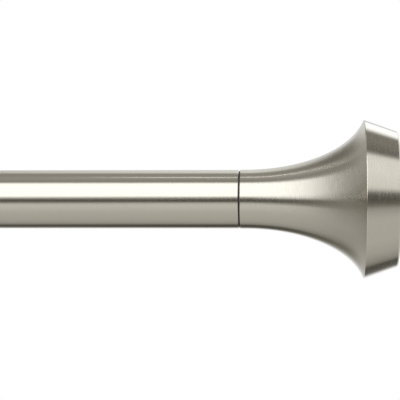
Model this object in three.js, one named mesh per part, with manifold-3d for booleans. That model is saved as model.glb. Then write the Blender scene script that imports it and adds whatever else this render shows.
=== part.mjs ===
// A telescoping curtain rod with two trumpet finials, carried by two wall brackets.
//
// Millimetres. X runs along the rod, +Y points into the wall and +Z points up. The origin is the centre
// of the right bracket's wall plate, on the plate's back face. The rod's axis is level with the origin
// and stands off the wall by the bracket's projection. Everything is drawn with the rod at its shortest.
import * as THREE from "three";
import { mergeVertices } from "three/addons/utils/BufferGeometryUtils.js";
import Module from "manifold-3d";

// ---- Driving dimensions ----

const INCH = 25.4;
const FIT = 0.3; // radial gap between pieces that slide or turn in one another
const SEAT = 0.1; // gap between flat faces that butt together

// Rod: two steel tubes, the thin one sliding in the thick one.
const ROD_RADIUS = INCH / 2;
const TUBE_WALL = 0.8;
const INNER_TUBE_RADIUS = (INCH * 7) / 16;
const SHORTEST_ROD = 28 * INCH;
const OUTER_TUBE_LENGTH = 660;
const INNER_TUBE_LENGTH = 635;
const ROD_END_PAST_BRACKET = 165; // from each bracket's centre plane to its end of the rod

// Plastic parts in the tube ends.
const PLUG_LENGTH = 24;
const PLUG_FLANGE = 0.4;
const PLUG_FLANGE_STEP = 0.4; // how far the flange stays under the tube's skin
const GUIDE_LENGTH = 20;
const GUIDE_FLANGE = 1.2;
const GUIDE_PLAY = 0.15; // the thin tube's play in the guide's bore
const GLIDE_HEAD = 9;
const GLIDE_PLAY = 0.2; // the glide's play in the thick tube's bore
const GLIDE_SPIGOT = 14;

// Finial: a neck as thick as the rod flares along a quarter ellipse to a sharp rim, and a band tapers
// back in from the rim to the flat end.
const NECK_RADIUS = 12.8;
const NECK_STRAIGHT = 2.3;
const NECK_CHAMFER = 0.35;
const FLARE_LENGTH = 52; // the ellipse's half axis along the rod
const FLARE_DEPTH = 26.8; // its half axis across the rod
const RIM_RADIUS = 34.2;
const BAND_LENGTH = 13.8;
const BAND_END_RADIUS = 29.25;
const LIP = 0.6;
const SHELL_WALL = 1.8;
const NECK_FLOOR = 3;
const CAP_RADIUS = 27.2;
const CAP_THICKNESS = 1.5;
const CAP_INSET = 0.8;

// Finial fixing: an M8 stud that joins the plug and the bush in the finial's neck.
const STUD_RADIUS = 4;
const STUD_LENGTH = 30;
const STUD_IN_FINIAL = 14;
const BUSH_SPIGOT_RADIUS = 7;
const BUSH_RADIUS = 9.5;
const BUSH_LENGTH = 15;

// Bracket: a round plate, a sleeve, an arm that slides in it, and an open cradle.
const PROJECTION = 3.5 * INCH; // from the wall to the rod's axis
const PLATE_RADIUS = 30;
const PLATE_FACE_RADIUS = 27.4;
const PLATE_THICKNESS = 4;
const PLATE_EDGE = 1.6;
const HOLE_RADIUS = 2.4;
const HOLE_OFFSET = 20;
const COUNTERSINK_RADIUS = 4.8;
const COUNTERSINK_DEPTH = 2.4;
const SLEEVE_RADIUS = 7;
const SLEEVE_END = 58; // the sleeve's open end, from the wall
const SLEEVE_FOOT_RADIUS = 11;
const SLEEVE_FOOT = 2.2;
const COLLAR_RADIUS = 8.5;
const COLLAR_LENGTH = 12;
const COLLAR_SLOPE = 1; // length of the cone that leads up to the collar
const ARM_RADIUS = 5;
const ARM_BACK = 12; // the arm's hidden end, from the wall
const SLEEVE_FLOOR = 10; // the bottom of the sleeve's bore, from the wall
const CRADLE_RADIUS = 13.2; // inside of the cradle's bend
const CRADLE_WALL = 2.8;
const CRADLE_WIDTH = 16;
const CRADLE_BACK_TOP = 8; // height of its back wall above the rod's axis
const CRADLE_FRONT_TOP = 3;
const BOSS_RADIUS = 8;
const BOSS_LENGTH = 6;
const SOCKET_DEPTH = 5;

// Thumbscrews: M4, with a nylon tip that bears on the piece they lock.
const SCREW_RADIUS = 2;
const TIP_RADIUS = 1.6;
const TIP_LENGTH = 1.5;
const LUG_RADIUS = 5;
const LUG_REACH = 20; // from the rod's axis to the end of the cradle's screw lug
const ROD_SCREW_SHANK = 9.5;
const ARM_SCREW_SHANK = 5.2;
const HEAD_RADIUS = 5.5;
const HEAD_LENGTH = 5.5;
const HEAD_CHAMFER = 0.6;
const ROD_SCREW_ANGLE = Math.PI / 4; // below the horizontal, at the front of the cradle

// Facets around a turned piece.
const COARSE = 20;
const MEDIUM = 28;
const FINE = 36;
const FLARE_OUTSIDE_STEPS = 9;
const FLARE_INSIDE_STEPS = 5;
const BEND_STEPS = 14; // along each half turn of the cradle's bend
const OVERRUN = 1; // how far a cutter or a joined boss passes the face it meets

// ---- Materials ----

const brushedNickel = new THREE.MeshStandardMaterial({ color: 0xa9a496, roughness: 0.28, metalness: 1 });
const zincSteel = new THREE.MeshStandardMaterial({ color: 0xb9bcc0, roughness: 0.35, metalness: 1 });
const blackPlastic = new THREE.MeshStandardMaterial({ color: 0x1d1c1b, roughness: 0.55, metalness: 0 });
const nylon = new THREE.MeshStandardMaterial({ color: 0xd9d6cc, roughness: 0.5, metalness: 0 });

// ---- Tools ----

const wasm = await Module();
wasm.setup();

const point = (radius, along) => new THREE.Vector2(radius, along);

/** A solid of revolution about local +Y, from a profile of (radius, along) points. */
function turned(profile, facets) {
  return new THREE.LatheGeometry(profile, facets);
}

/** A ring section: a profile that closes on itself. */
function ring(profile, facets) {
  return turned([...profile, profile[0]], facets);
}

/** A plain round bar along local +Y, from one station to another. */
function bar(radius, from, to, facets) {
  return turned([point(0, from), point(radius, from), point(radius, to), point(0, to)], facets);
}

/** Turns a geometry drawn about +Y so that its +Y points along a direction, and moves it to a place. */
function aimed(geometry, direction, place = new THREE.Vector3()) {
  const turn = new THREE.Quaternion().setFromUnitVectors(new THREE.Vector3(0, 1, 0), direction);
  return geometry.applyQuaternion(turn).translate(place.x, place.y, place.z);
}

function toSolid(geometry) {
  const bare = geometry.index ? geometry.toNonIndexed() : geometry.clone();
  bare.deleteAttribute("normal");
  bare.deleteAttribute("uv");
  const merged = mergeVertices(bare, 1e-4);
  const mesh = new wasm.Mesh({
    numProp: 3,
    vertProperties: merged.attributes.position.array,
    triVerts: new Uint32Array(merged.index.array),
  });
  return new wasm.Manifold(mesh);
}

function toGeometry(solid) {
  const mesh = solid.getMesh();
  const positions = new THREE.BufferAttribute(mesh.vertProperties.slice(), 3);
  return new THREE.BufferGeometry()
    .setAttribute("position", positions)
    .setIndex(new THREE.BufferAttribute(mesh.triVerts.slice(), 1));
}

/** Joins the first list of geometries into one piece and cuts the second list out of it. */
function carved(added, cut) {
  const joined = added.map(toSolid).reduce((a, b) => a.add(b));
  return toGeometry(cut.map(toSolid).reduce((a, b) => a.subtract(b), joined));
}

function piece(parent, name, geometry, material) {
  const mesh = new THREE.Mesh(geometry, material);
  mesh.name = name;
  parent.add(mesh);
  return mesh;
}

/** Points on the finial's flare, held off its outer skin by an inset, between two stations of u (0 to 1). */
function flare(inset, from, to, steps) {
  const points = [];
  for (let i = 0; i <= steps; i++) {
    const u = from + ((to - from) * i) / steps;
    const radius = NECK_RADIUS + FLARE_DEPTH * (1 - Math.sqrt(1 - u * u));
    const slope = (FLARE_DEPTH / FLARE_LENGTH) * (u / Math.sqrt(1 - u * u));
    const lean = Math.hypot(1, slope);
    points.push(point(radius - inset / lean, NECK_STRAIGHT + FLARE_LENGTH * u + (inset * slope) / lean));
  }
  return points;
}

const OUT = { right: new THREE.Vector3(1, 0, 0), left: new THREE.Vector3(-1, 0, 0) };
const TO_ROOM = new THREE.Vector3(0, -1, 0);
const DOWN = new THREE.Vector3(0, 0, -1);

// ---- Finial ----

const RIM_U = Math.sqrt(1 - (1 - (RIM_RADIUS - NECK_RADIUS) / FLARE_DEPTH) ** 2);
const INSIDE_FROM = 0.1; // the stations between which the shell's inside follows its flare
const INSIDE_TO = 0.93;
const RIM_AT = NECK_STRAIGHT + FLARE_LENGTH * RIM_U;
const BAND_END = RIM_AT + BAND_LENGTH;
const FINIAL_END = BAND_END + LIP;
const CAP_SEAT = FINIAL_END - CAP_INSET - CAP_THICKNESS;

/** The hollow shell: flare, rim and band in one, open at its end and with a pierced floor in its neck. */
function finialShell() {
  const outside = [
    point(NECK_RADIUS - NECK_CHAMFER, 0),
    point(NECK_RADIUS, NECK_CHAMFER),
    ...flare(0, 0, RIM_U, FLARE_OUTSIDE_STEPS),
    point(BAND_END_RADIUS, BAND_END),
    point(BAND_END_RADIUS - LIP, FINIAL_END),
  ];
  const inside = [
    point(CAP_RADIUS + FIT, FINIAL_END),
    point(CAP_RADIUS + FIT, CAP_SEAT - SEAT),
    point(CAP_RADIUS - SHELL_WALL, CAP_SEAT - SEAT),
    point(RIM_RADIUS - 2 * SHELL_WALL, RIM_AT + SHELL_WALL),
    ...flare(SHELL_WALL, INSIDE_FROM, INSIDE_TO, FLARE_INSIDE_STEPS).reverse(),
    point(NECK_RADIUS - SHELL_WALL, NECK_FLOOR),
    point(BUSH_SPIGOT_RADIUS + FIT, NECK_FLOOR),
    point(BUSH_SPIGOT_RADIUS + FIT, 0),
  ];
  return ring([...outside, ...inside], FINE);
}

/** The disc that closes the shell, set just inside its lip. */
function finialCap() {
  const front = FINIAL_END - CAP_INSET;
  return turned(
    [point(0, CAP_SEAT), point(CAP_RADIUS, CAP_SEAT), point(CAP_RADIUS, front), point(0, front)],
    FINE,
  );
}

/** The threaded bush that the stud screws into, held in the neck's floor. */
function finialBush() {
  const step = NECK_FLOOR + SEAT;
  return ring(
    [
      point(STUD_RADIUS + FIT, SEAT),
      point(BUSH_SPIGOT_RADIUS, SEAT),
      point(BUSH_SPIGOT_RADIUS, step),
      point(BUSH_RADIUS, step),
      point(BUSH_RADIUS, BUSH_LENGTH),
      point(STUD_RADIUS + FIT, BUSH_LENGTH),
    ],
    MEDIUM,
  );
}

function addFinial(parent, side, neckFace) {
  const place = new THREE.Vector3(neckFace, 0, 0);
  const set = (geometry) => aimed(geometry, OUT[side], place);
  const stud = bar(STUD_RADIUS, STUD_IN_FINIAL - STUD_LENGTH, STUD_IN_FINIAL, COARSE);
  piece(parent, `${side}_finial_shell`, set(finialShell()), brushedNickel);
  piece(parent, `${side}_finial_end_cap`, set(finialCap()), brushedNickel);
  piece(parent, `${side}_finial_bush`, set(finialBush()), zincSteel);
  piece(parent, `${side}_finial_stud`, set(stud), zincSteel);
}

// ---- Rod ----

const tube = (radius, length) =>
  ring(
    [
      point(radius - TUBE_WALL, 0),
      point(radius, 0),
      point(radius, length),
      point(radius - TUBE_WALL, length),
    ],
    FINE,
  );

/** A plug for a tube's end, drawn with the tube's end face at zero and the finial's side along +Y. */
function endPlug(tubeRadius) {
  const body = tubeRadius - TUBE_WALL - FIT;
  const bore = STUD_RADIUS + FIT;
  return ring(
    [
      point(bore, -PLUG_LENGTH),
      point(body, -PLUG_LENGTH),
      point(body, SEAT),
      point(tubeRadius - PLUG_FLANGE_STEP, SEAT),
      point(tubeRadius - PLUG_FLANGE_STEP, SEAT + PLUG_FLANGE),
      point(bore, SEAT + PLUG_FLANGE),
    ],
    MEDIUM,
  );
}

/** The bush in the thick tube's mouth that the thin tube runs in, drawn with the mouth at zero. */
function mouthGuide() {
  const bore = INNER_TUBE_RADIUS + GUIDE_PLAY;
  const skin = ROD_RADIUS - TUBE_WALL - SEAT;
  const rim = ROD_RADIUS - SEAT;
  return ring(
    [
      point(bore, -GUIDE_LENGTH),
      point(skin, -GUIDE_LENGTH),
      point(skin, SEAT),
      point(rim, SEAT),
      point(rim, SEAT + GUIDE_FLANGE),
      point(bore, SEAT + GUIDE_FLANGE),
    ],
    FINE,
  );
}

/** The plug on the thin tube's hidden end, whose head slides in the thick tube. */
function glide() {
  const spigot = INNER_TUBE_RADIUS - TUBE_WALL - FIT;
  const head = ROD_RADIUS - TUBE_WALL - GLIDE_PLAY;
  return turned(
    [
      point(0, -GLIDE_SPIGOT),
      point(spigot, -GLIDE_SPIGOT),
      point(spigot, SEAT),
      point(head, SEAT),
      point(head, SEAT + GLIDE_HEAD),
      point(0, SEAT + GLIDE_HEAD),
    ],
    MEDIUM,
  );
}

const RIGHT_END = ROD_END_PAST_BRACKET;
const LEFT_END = RIGHT_END - SHORTEST_ROD;
const MOUTH = RIGHT_END - OUTER_TUBE_LENGTH;
const HIDDEN_END = LEFT_END + INNER_TUBE_LENGTH;
const FINIAL_GAP = 2 * SEAT + PLUG_FLANGE; // from a tube's end to the finial's neck

function makeRod() {
  const rod = new THREE.Group();
  rod.position.y = -PROJECTION;
  const along = (geometry, side, x) => aimed(geometry, OUT[side], new THREE.Vector3(x, 0, 0));
  const thick = tube(ROD_RADIUS, OUTER_TUBE_LENGTH);
  const thin = tube(INNER_TUBE_RADIUS, INNER_TUBE_LENGTH);
  piece(rod, "outer_tube", along(thick, "right", MOUTH), brushedNickel);
  piece(rod, "inner_tube", along(thin, "right", LEFT_END), brushedNickel);
  piece(rod, "outer_tube_end_plug", along(endPlug(ROD_RADIUS), "right", RIGHT_END), blackPlastic);
  piece(rod, "inner_tube_end_plug", along(endPlug(INNER_TUBE_RADIUS), "left", LEFT_END), blackPlastic);
  piece(rod, "outer_tube_mouth_guide", along(mouthGuide(), "left", MOUTH), blackPlastic);
  piece(rod, "inner_tube_glide", along(glide(), "right", HIDDEN_END), nylon);
  addFinial(rod, "right", RIGHT_END + FINIAL_GAP);
  addFinial(rod, "left", LEFT_END - FINIAL_GAP);
  return rod;
}

// ---- Bracket ----
// Drawn about the wall plate's centre, with the arm running along -Y into the room.

/** A round wall plate with a bevelled edge and two countersunk holes, one above the other. */
function wallPlate() {
  const disc = turned(
    [
      point(0, 0),
      point(PLATE_RADIUS, 0),
      point(PLATE_RADIUS, PLATE_EDGE),
      point(PLATE_FACE_RADIUS, PLATE_THICKNESS),
      point(0, PLATE_THICKNESS),
    ],
    FINE,
  );
  const hole = (height) =>
    aimed(
      turned(
        [
          point(0, -OVERRUN),
          point(HOLE_RADIUS, -OVERRUN),
          point(HOLE_RADIUS, PLATE_THICKNESS - COUNTERSINK_DEPTH),
          point(COUNTERSINK_RADIUS, PLATE_THICKNESS),
          point(COUNTERSINK_RADIUS, PLATE_THICKNESS + OVERRUN),
          point(0, PLATE_THICKNESS + OVERRUN),
        ],
        COARSE,
      ),
      TO_ROOM,
      new THREE.Vector3(0, 0, height),
    );
  return carved([aimed(disc, TO_ROOM)], [hole(HOLE_OFFSET), hole(-HOLE_OFFSET)]);
}

const ARM_SCREW_AT = SLEEVE_END - COLLAR_LENGTH / 2;

/** The fixed sleeve: a foot on the plate, a tube, and a collar that is tapped for the arm's thumbscrew. */
function armSleeve() {
  const foot = PLATE_THICKNESS + SEAT;
  const bore = ARM_RADIUS + FIT;
  const collar = SLEEVE_END - COLLAR_LENGTH;
  const body = turned(
    [
      point(0, foot),
      point(SLEEVE_FOOT_RADIUS, foot),
      point(SLEEVE_FOOT_RADIUS, foot + SLEEVE_FOOT),
      point(SLEEVE_RADIUS, foot + 2 * SLEEVE_FOOT),
      point(SLEEVE_RADIUS, collar - COLLAR_SLOPE),
      point(COLLAR_RADIUS, collar),
      point(COLLAR_RADIUS, SLEEVE_END),
      point(bore, SLEEVE_END),
      point(bore, SLEEVE_FLOOR),
      point(0, SLEEVE_FLOOR),
    ],
    MEDIUM,
  );
  const tapping = bar(SCREW_RADIUS + FIT, 0, COLLAR_RADIUS + OVERRUN, COARSE);
  const screwHole = aimed(tapping, DOWN, new THREE.Vector3(0, -ARM_SCREW_AT, 0));
  return carved([aimed(body, TO_ROOM)], [screwHole]);
}

const CRADLE_BACK = PROJECTION - CRADLE_RADIUS - CRADLE_WALL; // its back face, from the wall
const SCREW_OUT = new THREE.Vector3(0, -Math.cos(ROD_SCREW_ANGLE), -Math.sin(ROD_SCREW_ANGLE));
const ROD_AXIS = new THREE.Vector3(0, -PROJECTION, 0);

/** The cradle's bent strip, drawn in a plane across the rod: local X to the wall, local Y up. */
function cradleStrip() {
  const inside = CRADLE_RADIUS;
  const outside = CRADLE_RADIUS + CRADLE_WALL;
  const shape = new THREE.Shape();
  shape.moveTo(outside, CRADLE_BACK_TOP);
  shape.lineTo(inside, CRADLE_BACK_TOP);
  shape.lineTo(inside, 0);
  shape.absarc(0, 0, inside, 0, -Math.PI, true);
  shape.lineTo(-inside, CRADLE_FRONT_TOP);
  shape.lineTo(-outside, CRADLE_FRONT_TOP);
  shape.lineTo(-outside, 0);
  shape.absarc(0, 0, outside, Math.PI, 2 * Math.PI, false);
  const strip = new THREE.ExtrudeGeometry(shape, {
    depth: CRADLE_WIDTH,
    bevelEnabled: false,
    curveSegments: BEND_STEPS,
  });
  const across = new THREE.Matrix4().makeBasis(
    new THREE.Vector3(0, 1, 0),
    new THREE.Vector3(0, 0, 1),
    new THREE.Vector3(1, 0, 0),
  );
  return strip
    .translate(0, 0, -CRADLE_WIDTH / 2)
    .applyMatrix4(across)
    .translate(0, -PROJECTION, 0);
}

/** The open cradle, with the boss that takes the arm and the lug that takes the rod's thumbscrew. */
function cradle() {
  const bossFace = CRADLE_BACK - BOSS_LENGTH;
  const boss = bar(BOSS_RADIUS, bossFace, CRADLE_BACK + OVERRUN, MEDIUM);
  const socket = bar(ARM_RADIUS + FIT, bossFace - OVERRUN, bossFace + SOCKET_DEPTH, MEDIUM);
  const lug = bar(LUG_RADIUS, CRADLE_RADIUS + CRADLE_WALL / 2, LUG_REACH, COARSE);
  const screwHole = bar(SCREW_RADIUS + FIT, CRADLE_RADIUS - OVERRUN, LUG_REACH + OVERRUN, COARSE);
  return carved(
    [cradleStrip(), aimed(boss, TO_ROOM), aimed(lug, SCREW_OUT, ROD_AXIS)],
    [aimed(socket, TO_ROOM), aimed(screwHole, SCREW_OUT, ROD_AXIS)],
  );
}

/** A thumbscrew and its tip, drawn outwards along +Y from the place where the tip bears. */
function thumbscrew(shank) {
  const start = TIP_LENGTH + SEAT;
  const head = start + shank;
  const end = head + HEAD_LENGTH;
  return turned(
    [
      point(0, start),
      point(SCREW_RADIUS, start),
      point(SCREW_RADIUS, head),
      point(HEAD_RADIUS - HEAD_CHAMFER, head),
      point(HEAD_RADIUS, head + HEAD_CHAMFER),
      point(HEAD_RADIUS, end - HEAD_CHAMFER),
      point(HEAD_RADIUS - HEAD_CHAMFER, end),
      point(0, end),
    ],
    COARSE,
  );
}

function addThumbscrew(parent, name, shank, direction, bearing) {
  piece(parent, name, aimed(thumbscrew(shank), direction, bearing), brushedNickel);
  const tip = bar(TIP_RADIUS, 0, TIP_LENGTH, COARSE);
  piece(parent, `${name}_tip`, aimed(tip, direction, bearing), nylon);
}

function makeBracket(side, x) {
  const bracket = new THREE.Group();
  bracket.position.x = x;
  const armFront = CRADLE_BACK - BOSS_LENGTH + SOCKET_DEPTH - FIT;
  const arm = bar(ARM_RADIUS, ARM_BACK, armFront, MEDIUM);
  piece(bracket, `${side}_wall_plate`, wallPlate(), brushedNickel);
  piece(bracket, `${side}_arm_sleeve`, armSleeve(), brushedNickel);
  piece(bracket, `${side}_arm`, aimed(arm, TO_ROOM), brushedNickel);
  piece(bracket, `${side}_cradle`, cradle(), brushedNickel);
  const onArm = new THREE.Vector3(0, -ARM_SCREW_AT, -ARM_RADIUS - FIT);
  addThumbscrew(bracket, `${side}_arm_thumbscrew`, ARM_SCREW_SHANK, DOWN, onArm);
  const onRod = ROD_AXIS.clone().addScaledVector(SCREW_OUT, ROD_RADIUS + FIT);
  addThumbscrew(bracket, `${side}_rod_thumbscrew`, ROD_SCREW_SHANK, SCREW_OUT, onRod);
  return bracket;
}

// ---- Assembly ----

const curtainRod = new THREE.Group();
curtainRod.add(makeRod());
curtainRod.add(makeBracket("right", 0));
curtainRod.add(makeBracket("left", LEFT_END + ROD_END_PAST_BRACKET));

export default curtainRod;
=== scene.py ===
"""Looks of the telescoping curtain rod with trumpet finials and wall brackets, built round its frame.

Metres. X runs along the rod towards the right finial, +Y points into the wall and +Z points up.
"""
import math

import bpy
from mathutils import Matrix, Vector


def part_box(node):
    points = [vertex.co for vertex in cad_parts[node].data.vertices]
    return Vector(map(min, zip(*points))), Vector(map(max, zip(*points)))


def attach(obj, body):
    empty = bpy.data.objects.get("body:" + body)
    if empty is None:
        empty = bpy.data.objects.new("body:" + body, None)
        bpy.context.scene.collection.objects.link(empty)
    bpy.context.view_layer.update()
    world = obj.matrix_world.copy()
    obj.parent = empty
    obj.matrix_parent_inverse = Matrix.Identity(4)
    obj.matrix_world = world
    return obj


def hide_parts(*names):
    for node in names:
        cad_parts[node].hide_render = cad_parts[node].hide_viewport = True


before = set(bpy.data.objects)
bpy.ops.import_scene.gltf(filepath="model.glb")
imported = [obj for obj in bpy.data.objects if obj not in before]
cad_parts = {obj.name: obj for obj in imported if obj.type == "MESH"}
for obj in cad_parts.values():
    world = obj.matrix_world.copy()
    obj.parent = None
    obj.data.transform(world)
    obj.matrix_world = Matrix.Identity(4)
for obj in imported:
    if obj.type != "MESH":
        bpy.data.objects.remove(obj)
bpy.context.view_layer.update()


# ---- Outer tube ----
# The thick one of the two telescoping tubes: welded steel, 25.4 mm across, finished round and round with an
# abrasive belt and nickel plated. Its ends are sawn square and their edges only broken.

MM = 0.001
TUBE_WALL = 0.8 * MM
BROKEN_EDGE = 0.3 * MM  # radius left on a filed edge
ARC_STEPS = 5  # facets across a rounded edge
ROD_FACETS = 128  # facets round the rod and the finials


def left_of(direction):
    return Vector((-direction.y, direction.x))


def rounded(corners, closed=True):
    """Stations round an outline of (along, radius, fillet) corners, with an arc for each fillet.

    The solid lies to the right of the outline. A station is (along, radius, normal, edge), and edge is 1 on
    the middle of an outer fillet and -1 on the middle of an inner one.
    """
    stations = []
    count = len(corners)
    for i, (along, radius, fillet) in enumerate(corners):
        here = Vector((along, radius))
        at_end = not closed and i in (0, count - 1)
        into = (here - Vector(corners[i - 1][:2])).normalized()
        out = (Vector(corners[(i + 1) % count][:2]) - here).normalized()
        if at_end:
            into = out if i == 0 else into
            out = into
        if fillet == 0 or at_end:
            stations.append((along, radius, (left_of(into) + left_of(out)).normalized(), 0.0))
            continue
        turn = math.atan2(into.cross(out), into.dot(out))
        bulge = math.copysign(1, turn)
        start = here - into * fillet * math.tan(abs(turn) / 2)
        centre = start + left_of(into) * bulge * fillet
        for step in range(ARC_STEPS + 1):
            share = step / ARC_STEPS
            normal = Matrix.Rotation(turn * share, 2) @ left_of(into)
            spot = centre - normal * bulge * fillet
            stations.append((spot.x, spot.y, normal, -bulge * math.sin(math.pi * share)))
    return stations


def turned(name, corners, origin, direction, facets=ROD_FACETS, closed=True):
    """A turned piece from its outline.

    Its UV map "brushing" has metres along the outline and turns round it.
    """
    stations = rounded(corners, closed)
    axis = Vector(direction).normalized()
    side = axis.orthogonal().normalized()
    lift = axis.cross(side)
    spokes = [
        side * math.cos(2 * math.pi * j / facets) + lift * math.sin(2 * math.pi * j / facets)
        for j in range(facets)
    ]
    points, normals, edges, rings, lengths = [], [], [], [], []
    walked = 0.0
    for i, (along, radius, normal, edge) in enumerate(stations):
        if i:
            walked += math.hypot(along - stations[i - 1][0], radius - stations[i - 1][1])
        lengths.append(walked)
        ends = spokes[:1] if radius < 1e-7 else spokes
        rings.append([len(points) + j for j in range(len(ends))])
        for spoke in ends:
            points.append(Vector(origin) + axis * along + spoke * radius)
            normals.append((axis * normal.x + spoke * (normal.y if len(ends) > 1 else 0)).normalized())
            edges.append(edge)
    if closed:
        rings.append(rings[0])
        closing = (stations[-1][0] - stations[0][0], stations[-1][1] - stations[0][1])
        lengths.append(walked + math.hypot(*closing))
    faces, uvs = [], []
    for i in range(len(rings) - 1):
        low, high = rings[i], rings[i + 1]
        for j in range(facets):
            loop = [(low, j, i), (low, j + 1, i), (high, j + 1, i + 1), (high, j, i + 1)]
            if len(low) == 1:
                loop = [(low, j + 0.5, i), *loop[2:]]
            elif len(high) == 1:
                loop = [*loop[:2], (high, j + 0.5, i + 1)]
            faces.append([row[int(k) % len(row)] for row, k, _ in loop])
            uvs += [(lengths[station], k / facets) for _, k, station in loop]
    mesh = bpy.data.meshes.new(name)
    mesh.from_pydata(points, [], faces)
    brushing = mesh.uv_layers.new(name="brushing")
    brushing.uv.foreach_set("vector", [value for uv in uvs for value in uv])
    mesh.attributes.new("edge", "FLOAT", "POINT").data.foreach_set("value", edges)
    mesh.polygons.foreach_set("use_smooth", [True] * len(faces))
    mesh.normals_split_custom_set_from_vertices(normals)
    return shown(name, mesh)


def shown(name, mesh):
    piece = bpy.data.objects.new(name, mesh)
    bpy.context.scene.collection.objects.link(piece)
    return piece


def add(tree, kind, inputs=None, **settings):
    """A node, with its settings, and with inputs that are set or linked from another node's output."""
    node = tree.nodes.new(kind)
    for key, value in settings.items():
        setattr(node, key, value)
    for key, value in (inputs or {}).items():
        if isinstance(value, bpy.types.NodeSocket):
            tree.links.new(value, node.inputs[key])
        else:
            node.inputs[key].default_value = value
    return node


def calc(tree, operation, *values):
    """The result of one Math node."""
    return add(tree, "ShaderNodeMath", dict(enumerate(values)), operation=operation).outputs["Value"]


def tinted(tree, factor, low, high):
    """A colour between two colours."""
    inputs = {"Factor": factor, 6: low, 7: high}
    return add(tree, "ShaderNodeMix", inputs, data_type="RGBA").outputs[2]


def blank_material(name):
    """A new material, its node tree and its Principled shader."""
    material = bpy.data.materials.new(name)
    material.use_nodes = True
    tree = material.node_tree
    return material, tree, tree.nodes["Principled BSDF"]


NICKEL = (0.700, 0.660, 0.560, 1)
NICKEL_DULL = (0.655, 0.612, 0.508, 1)
NICKEL_WORN = (0.790, 0.752, 0.668, 1)
HAIRLINE = 0.16 * MM  # width of the belt's finest scratches
SCRATCH = 0.42 * MM  # width of its coarser ones
HAIRLINES_PER_SCRATCH = 0.6  # along the brush's way, so hairlines are the longer ones
HAIRLINE_GLOSS = 0.05  # how much roughness the hairlines add or take away, all told
CLOUD_GLOSS = 0.04  # the same for the plating's cloudiness
CLOUDS_PER_METRE = 14
COARSE_SHARE = 0.6  # of the grooves' depth
EDGE_WEAR = 0.6  # how much of the bare, worn colour shows on an outer edge
EDGE_POLISH = 0.06  # how much smoother handling leaves it


def brushed_nickel(name, roughness=0.25, strokes=3.5, depth=0.010 * MM, slant=2.5, contrast=0.06):
    """Nickel plate over steel that was brushed along V of the "brushing" map.

    strokes is how many scratches follow each other in about a sixth of a turn, and slant leans them.
    """
    material, tree, shader = blank_material(name)
    spot = add(tree, "ShaderNodeUVMap", uv_map="brushing").outputs["UV"]
    spot = add(tree, "ShaderNodeSeparateXYZ", {0: spot})
    turn = calc(tree, "MULTIPLY", spot.outputs["Y"], 2 * math.pi)
    back = calc(tree, "SINE", turn)
    across = calc(tree, "COSINE", turn)

    def scratches(width, count, seed):
        """Noise drawn out round the piece, so that it has no seam where a turn ends."""
        fine = calc(tree, "MULTIPLY_ADD", spot.outputs["X"], 1 / width, seed)
        place = {
            0: calc(tree, "MULTIPLY_ADD", back, slant, fine),
            1: calc(tree, "MULTIPLY", across, count),
            2: calc(tree, "MULTIPLY", back, count),
        }
        place = add(tree, "ShaderNodeCombineXYZ", place).outputs[0]
        return add(tree, "ShaderNodeTexNoise", {"Vector": place, "Scale": 1, "Detail": 1}).outputs[0]

    hairlines = scratches(HAIRLINE, HAIRLINES_PER_SCRATCH * strokes, seed=0)
    coarse = scratches(SCRATCH, strokes, seed=31)
    place = add(tree, "ShaderNodeTexCoord").outputs["Object"]
    clouds = {"Vector": place, "Scale": CLOUDS_PER_METRE, "Detail": 3}
    cloud = add(tree, "ShaderNodeTexNoise", clouds).outputs[0]
    edge = add(tree, "ShaderNodeAttribute", attribute_name="edge").outputs["Fac"]
    worn = calc(tree, "MAXIMUM", edge, 0)

    plate = tinted(tree, coarse, NICKEL_DULL, NICKEL)
    colour = tinted(tree, calc(tree, "MULTIPLY", worn, EDGE_WEAR), plate, NICKEL_WORN)
    tree.links.new(colour, shader.inputs["Base Color"])
    gloss = calc(tree, "MULTIPLY_ADD", hairlines, HAIRLINE_GLOSS, roughness - HAIRLINE_GLOSS / 2)
    gloss = calc(tree, "MULTIPLY_ADD", coarse, contrast, calc(tree, "SUBTRACT", gloss, contrast / 2))
    gloss = calc(tree, "MULTIPLY_ADD", cloud, CLOUD_GLOSS, calc(tree, "SUBTRACT", gloss, CLOUD_GLOSS / 2))
    tree.links.new(calc(tree, "MULTIPLY_ADD", worn, -EDGE_POLISH, gloss), shader.inputs["Roughness"])
    height = calc(tree, "MULTIPLY", hairlines, 1 - COARSE_SHARE)
    height = calc(tree, "MULTIPLY_ADD", coarse, COARSE_SHARE, height)
    grooves = add(tree, "ShaderNodeBump", {"Height": height, "Strength": 1, "Distance": depth})
    tree.links.new(grooves.outputs["Normal"], shader.inputs["Normal"])
    lay = add(tree, "ShaderNodeTangent", direction_type="UV_MAP", uv_map="brushing")
    tree.links.new(lay.outputs["Tangent"], shader.inputs["Tangent"])
    shader.inputs["Metallic"].default_value = 1
    shader.inputs["Anisotropic"].default_value = 1
    return material


def finish(piece, material, body, slot, *nodes):
    """Gives a piece its material and its body, and hides the CAD nodes that it stands for."""
    piece.data.materials.clear()
    piece.data.materials.append(material)
    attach(piece, body)
    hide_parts(*nodes)


RIGHT = Vector((1, 0, 0))
LEFT = -RIGHT
tube_nickel = brushed_nickel("brushed_nickel_tube", contrast=0.03)


def make_tube(node, body):
    low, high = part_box(node)
    axis = (low + high) / 2
    radius = (high.z - low.z) / 2
    length = high.x - low.x
    bore = radius - TUBE_WALL
    outline = [
        (0, radius, BROKEN_EDGE),
        (length, radius, BROKEN_EDGE),
        (length, bore, BROKEN_EDGE),
        (0, bore, BROKEN_EDGE),
    ]
    tube = turned(node + "_shell", outline, (low.x, axis.y, axis.z), RIGHT)
    finish(tube, tube_nickel, body, "brushed_nickel", node)


make_tube("outer_tube", "outer_rod")


# ---- Inner tube ----
# The thin tube, 22.2 mm across, that slides in the thick one to set the rod's length. It has the same wall,
# belt finish and plating, and its ends are cut the same way.

make_tube("inner_tube", "inner_rod")


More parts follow.
